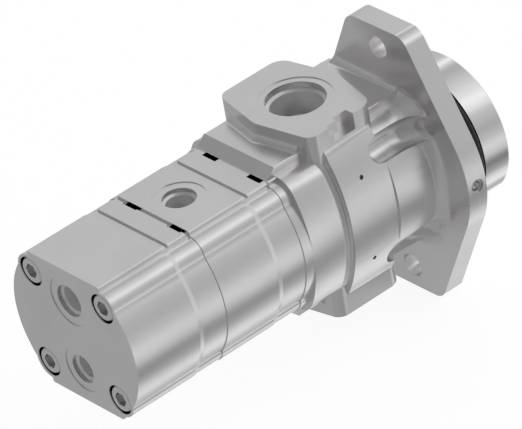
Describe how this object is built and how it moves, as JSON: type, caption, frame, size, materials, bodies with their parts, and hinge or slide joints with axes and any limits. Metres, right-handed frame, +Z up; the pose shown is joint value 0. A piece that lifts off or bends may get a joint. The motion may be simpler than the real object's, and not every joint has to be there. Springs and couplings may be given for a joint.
{
  "type": "multi-stage gear pump",
  "caption": "Flange-mounted axle oil gear pump in stacked aluminium castings, with a round pilot, threaded ports and meshing gears that turn with the shaft.",
  "frame": {"origin": "centre of the two flange bolt holes on the flange's mounting face, on the axis of the drive shaft", "axes": "+X along the drive shaft towards the pilot and the drive end, +Z up towards the large port, +Y towards the driven gears"},
  "size_m": [0.2802, 0.1298, 0.174],
  "materials": {
    "housing_casting": "fine cast and machined aluminium, satin",
    "bolt_steel": "plated steel",
    "small_steel": "ground steel",
    "seal_rubber": "black nitrile rubber",
    "bearing_block": "machined aluminium",
    "bush_bronze": "bronze bearing bush",
    "gear_steel": "ground hardened steel"
  },
  "bodies": {
    "pump_body": {"main_housing": "housing_casting", "middle_body": "housing_casting", "rear_body": "housing_casting", "through_bolts": "bolt_steel", "dowel_pins": "small_steel", "rear_joint_ring": "seal_rubber", "middle_joint_ring": "seal_rubber", "stage_plate": "bearing_block", "stage_plate_seal": "seal_rubber", "shaft_seal": "seal_rubber", "snap_ring": "small_steel", "pilot_ring": "seal_rubber", "flange_plug": "small_steel", "front_back_block": "bearing_block", "front_back_bushes": "bush_bronze", "front_back_seal": "seal_rubber", "front_fore_block": "bearing_block", "front_fore_bushes": "bush_bronze", "front_fore_seal": "seal_rubber", "middle_back_block": "bearing_block", "middle_back_bushes": "bush_bronze", "middle_back_seal": "seal_rubber", "middle_fore_block": "bearing_block", "middle_fore_bushes": "bush_bronze", "middle_fore_seal": "seal_rubber", "rear_back_block": "bearing_block", "rear_back_bushes": "bush_bronze", "rear_back_seal": "seal_rubber", "rear_fore_block": "bearing_block", "rear_fore_bushes": "bush_bronze", "rear_fore_seal": "seal_rubber"},
    "drive_train": {"drive_shaft": "gear_steel", "coupling_sleeve": "gear_steel", "middle_drive_gear": "gear_steel", "rear_drive_gear": "gear_steel"},
    "front_driven_gear": {"front_idler": "gear_steel"},
    "middle_driven_gear": {"middle_idler": "gear_steel"},
    "rear_driven_gear": {"rear_idler": "gear_steel"}
  },
  "joints": [
    {"name": "shaft_spin", "type": "hinge", "parent": "pump_body", "child": "drive_train", "pos_m": [0, 0, 0], "axis": [1, 0, 0], "continuous": true},
    {"name": "front_idler_spin", "type": "hinge", "parent": "pump_body", "child": "front_driven_gear", "pos_m": [-0.0627, 0.033, 0], "axis": [1, 0, 0], "continuous": true},
    {"name": "middle_idler_spin", "type": "hinge", "parent": "pump_body", "child": "middle_driven_gear", "pos_m": [-0.152, 0.033, 0], "axis": [1, 0, 0], "continuous": true},
    {"name": "rear_idler_spin", "type": "hinge", "parent": "pump_body", "child": "rear_driven_gear", "pos_m": [-0.1992, 0.033, 0], "axis": [1, 0, 0], "continuous": true}
  ],
  "couplings": [
    {"joint": "front_idler_spin", "follows": "shaft_spin", "ratio": -1},
    {"joint": "middle_idler_spin", "follows": "shaft_spin", "ratio": -1},
    {"joint": "rear_idler_spin", "follows": "shaft_spin", "ratio": -1}
  ]
}
